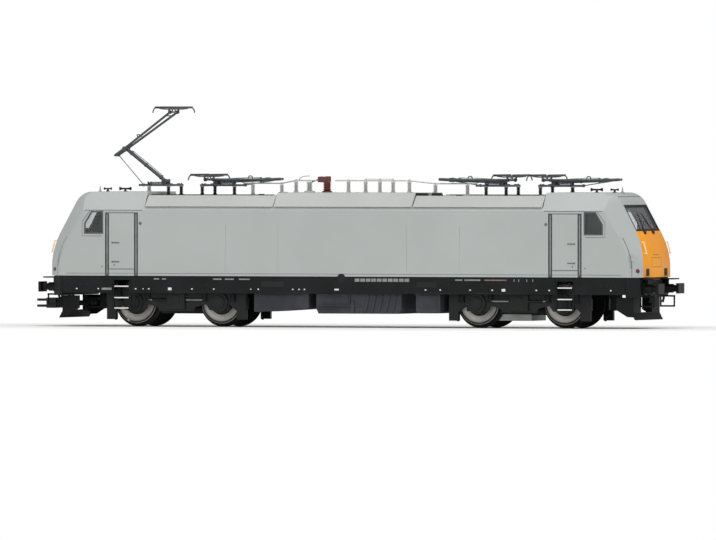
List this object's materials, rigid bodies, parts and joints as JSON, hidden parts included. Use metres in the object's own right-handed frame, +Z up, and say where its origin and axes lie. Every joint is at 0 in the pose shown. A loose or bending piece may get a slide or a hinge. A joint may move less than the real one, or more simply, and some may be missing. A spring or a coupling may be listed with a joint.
{
  "type": "scale model electric locomotive",
  "caption": "1:87 scale model of an electric locomotive with cabs at both ends, swivelling bogies, turning wheels and folding single-arm pantographs, one of them raised.",
  "frame": {"origin": "midway between the bogie pivots, on the centre line, at rail-top height; the wheel flanges reach 1.1 mm below it", "axes": "+X towards the end without a coupler, +Y to the left seen from there, +Z up"},
  "size_m": [0.2221, 0.0344, 0.0726],
  "materials": {
    "shell_grey": "satin",
    "roof_grey": "satin",
    "nose_yellow": "satin",
    "windscreen": "clear",
    "side_glass": "clear",
    "lamp_lens": "clear",
    "tail_red": "gloss",
    "rail_grey": "satin",
    "die_cast": "cast",
    "cab_plastic": "matte",
    "frame_black": "matte",
    "buffer_black": "matte",
    "wheel_metal": "turned",
    "insulator_grey": "satin",
    "busbar_metal": "drawn",
    "breaker_brown": "satin",
    "horn_black": "gloss",
    "insulator_black": "gloss",
    "pantograph_slate": "matte",
    "rod_metal": "drawn"
  },
  "bodies": {
    "body": {"body_shell": "shell_grey", "roof_hatch_a": "roof_grey", "roof_hatch_middle": "roof_grey", "roof_hatch_b": "roof_grey", "nose_panel_a": "nose_yellow", "nose_panel_b": "nose_yellow", "windscreen_a": "windscreen", "windscreen_b": "windscreen", "side_windows": "side_glass", "headlamps": "lamp_lens", "tail_lamps": "tail_red", "door_handrails": "rail_grey", "nose_grab_rails": "rail_grey", "chassis_block": "die_cast", "cab_interior_a": "cab_plastic", "cab_interior_b": "cab_plastic", "sole_bars": "frame_black", "buffer_beams": "frame_black", "buffers": "buffer_black", "shunter_grips": "frame_black", "plough_a": "frame_black", "plough_b": "frame_black", "cab_steps": "frame_black", "transformer_tank": "frame_black", "equipment_boxes": "frame_black", "coupler_pockets": "frame_black", "roof_insulators": "insulator_grey", "roof_busbars": "busbar_metal", "main_breaker": "breaker_brown", "horns": "horn_black", "pantograph_insulators": "insulator_black", "pantograph_base_1": "pantograph_slate", "pantograph_base_2": "pantograph_slate", "pantograph_base_3": "pantograph_slate", "pantograph_base_4": "pantograph_slate"},
    "bogie_a": {"bogie_frame_a": "frame_black"},
    "bogie_b": {"bogie_frame_b": "frame_black"},
    "wheels_1": {"wheelset_1": "wheel_metal"},
    "wheels_2": {"wheelset_2": "wheel_metal"},
    "wheels_3": {"wheelset_3": "wheel_metal"},
    "wheels_4": {"wheelset_4": "wheel_metal"},
    "coupler": {"coupler_head": "frame_black"},
    "arm_low_1": {"lower_arm_1": "pantograph_slate"},
    "arm_up_1": {"upper_arm_1": "pantograph_slate"},
    "head_1": {"pan_head_1": "pantograph_slate"},
    "rod_1": {"control_rod_1": "rod_metal"},
    "arm_low_2": {"lower_arm_2": "pantograph_slate"},
    "arm_up_2": {"upper_arm_2": "pantograph_slate"},
    "head_2": {"pan_head_2": "pantograph_slate"},
    "rod_2": {"control_rod_2": "rod_metal"},
    "arm_low_3": {"lower_arm_3": "pantograph_slate"},
    "arm_up_3": {"upper_arm_3": "pantograph_slate"},
    "head_3": {"pan_head_3": "pantograph_slate"},
    "rod_3": {"control_rod_3": "rod_metal"},
    "arm_low_4": {"lower_arm_4": "pantograph_slate"},
    "arm_up_4": {"upper_arm_4": "pantograph_slate"},
    "head_4": {"pan_head_4": "pantograph_slate"},
    "rod_4": {"control_rod_4": "rod_metal"}
  },
  "joints": [
    {"name": "bogie_a_swivel", "type": "hinge", "parent": "body", "child": "bogie_a", "pos_m": [-0.06, 0, 0.012], "axis": [0, 0, 1], "range_deg": [-8, 8]},
    {"name": "bogie_b_swivel", "type": "hinge", "parent": "body", "child": "bogie_b", "pos_m": [0.06, 0, 0.012], "axis": [0, 0, 1], "range_deg": [-8, 8]},
    {"name": "axle_1_spin", "type": "hinge", "parent": "bogie_a", "child": "wheels_1", "pos_m": [-0.07495, 0, 0.007], "axis": [0, 1, 0], "continuous": true},
    {"name": "axle_2_spin", "type": "hinge", "parent": "bogie_a", "child": "wheels_2", "pos_m": [-0.04505, 0, 0.007], "axis": [0, 1, 0], "continuous": true},
    {"name": "axle_3_spin", "type": "hinge", "parent": "bogie_b", "child": "wheels_3", "pos_m": [0.04505, 0, 0.007], "axis": [0, 1, 0], "continuous": true},
    {"name": "axle_4_spin", "type": "hinge", "parent": "bogie_b", "child": "wheels_4", "pos_m": [0.07495, 0, 0.007], "axis": [0, 1, 0], "continuous": true},
    {"name": "coupler_swing", "type": "hinge", "parent": "body", "child": "coupler", "pos_m": [-0.093, 0, 0.0065], "axis": [0, 0, 1], "range_deg": [-12, 12]},
    {"name": "pantograph_1_raise", "type": "hinge", "parent": "body", "child": "arm_low_1", "pos_m": [-0.0683, 0, 0.0468], "axis": [0, 1, 0], "range_deg": [-35.6, 6.4]},
    {"name": "pantograph_1_knee", "type": "hinge", "parent": "arm_low_1", "child": "arm_up_1", "pos_m": [-0.08232, 0, 0.0576], "axis": [0, 1, 0], "range_deg": [-12.81, 71.21]},
    {"name": "pantograph_1_head_level", "type": "hinge", "parent": "arm_up_1", "child": "head_1", "pos_m": [-0.06549, 0, 0.06965], "axis": [0, 1, 0], "range_deg": [-35.61, 6.41]},
    {"name": "pantograph_1_rod", "type": "hinge", "parent": "body", "child": "rod_1", "pos_m": [-0.0771, 0.0026, 0.0456], "axis": [0, 1, 0], "range_deg": [-39.42, 7.09]},
    {"name": "pantograph_2_raise", "type": "hinge", "parent": "body", "child": "arm_low_2", "pos_m": [-0.05, 0, 0.0468], "axis": [0, -1, 0], "range_deg": [0, 42]},
    {"name": "pantograph_2_knee", "type": "hinge", "parent": "arm_low_2", "child": "arm_up_2", "pos_m": [-0.03231, 0, 0.04742], "axis": [0, -1, 0], "range_deg": [-84.01, 0]},
    {"name": "pantograph_2_head_level", "type": "hinge", "parent": "arm_up_2", "child": "head_2", "pos_m": [-0.05301, 0, 0.04742], "axis": [0, -1, 0], "range_deg": [0, 42.01]},
    {"name": "pantograph_2_rod", "type": "hinge", "parent": "body", "child": "rod_2", "pos_m": [-0.0412, 0.0026, 0.0456], "axis": [0, -1, 0], "range_deg": [0, 46.5]},
    {"name": "pantograph_3_raise", "type": "hinge", "parent": "body", "child": "arm_low_3", "pos_m": [0.05, 0, 0.0468], "axis": [0, 1, 0], "range_deg": [0, 42]},
    {"name": "pantograph_3_knee", "type": "hinge", "parent": "arm_low_3", "child": "arm_up_3", "pos_m": [0.03231, 0, 0.04742], "axis": [0, 1, 0], "range_deg": [-84.01, 0]},
    {"name": "pantograph_3_head_level", "type": "hinge", "parent": "arm_up_3", "child": "head_3", "pos_m": [0.05301, 0, 0.04742], "axis": [0, 1, 0], "range_deg": [0, 42.01]},
    {"name": "pantograph_3_rod", "type": "hinge", "parent": "body", "child": "rod_3", "pos_m": [0.0412, 0.0026, 0.0456], "axis": [0, 1, 0], "range_deg": [0, 46.5]},
    {"name": "pantograph_4_raise", "type": "hinge", "parent": "body", "child": "arm_low_4", "pos_m": [0.0683, 0, 0.0468], "axis": [0, -1, 0], "range_deg": [0, 42]},
    {"name": "pantograph_4_knee", "type": "hinge", "parent": "arm_low_4", "child": "arm_up_4", "pos_m": [0.08599, 0, 0.04742], "axis": [0, -1, 0], "range_deg": [-84.01, 0]},
    {"name": "pantograph_4_head_level", "type": "hinge", "parent": "arm_up_4", "child": "head_4", "pos_m": [0.06529, 0, 0.04742], "axis": [0, -1, 0], "range_deg": [0, 42.01]},
    {"name": "pantograph_4_rod", "type": "hinge", "parent": "body", "child": "rod_4", "pos_m": [0.0771, 0.0026, 0.0456], "axis": [0, -1, 0], "range_deg": [0, 46.5]}
  ],
  "couplings": [
    {"joint": "pantograph_1_knee", "follows": "pantograph_1_raise", "ratio": -2},
    {"joint": "pantograph_1_head_level", "follows": "pantograph_1_raise", "ratio": 1},
    {"joint": "pantograph_1_rod", "follows": "pantograph_1_raise", "ratio": 1.107},
    {"joint": "pantograph_2_knee", "follows": "pantograph_2_raise", "ratio": -2},
    {"joint": "pantograph_2_head_level", "follows": "pantograph_2_raise", "ratio": 1},
    {"joint": "pantograph_2_rod", "follows": "pantograph_2_raise", "ratio": 1.107},
    {"joint": "pantograph_3_knee", "follows": "pantograph_3_raise", "ratio": -2},
    {"joint": "pantograph_3_head_level", "follows": "pantograph_3_raise", "ratio": 1},
    {"joint": "pantograph_3_rod", "follows": "pantograph_3_raise", "ratio": 1.107},
    {"joint": "pantograph_4_knee", "follows": "pantograph_4_raise", "ratio": -2},
    {"joint": "pantograph_4_head_level", "follows": "pantograph_4_raise", "ratio": 1},
    {"joint": "pantograph_4_rod", "follows": "pantograph_4_raise", "ratio": 1.107}
  ]
}
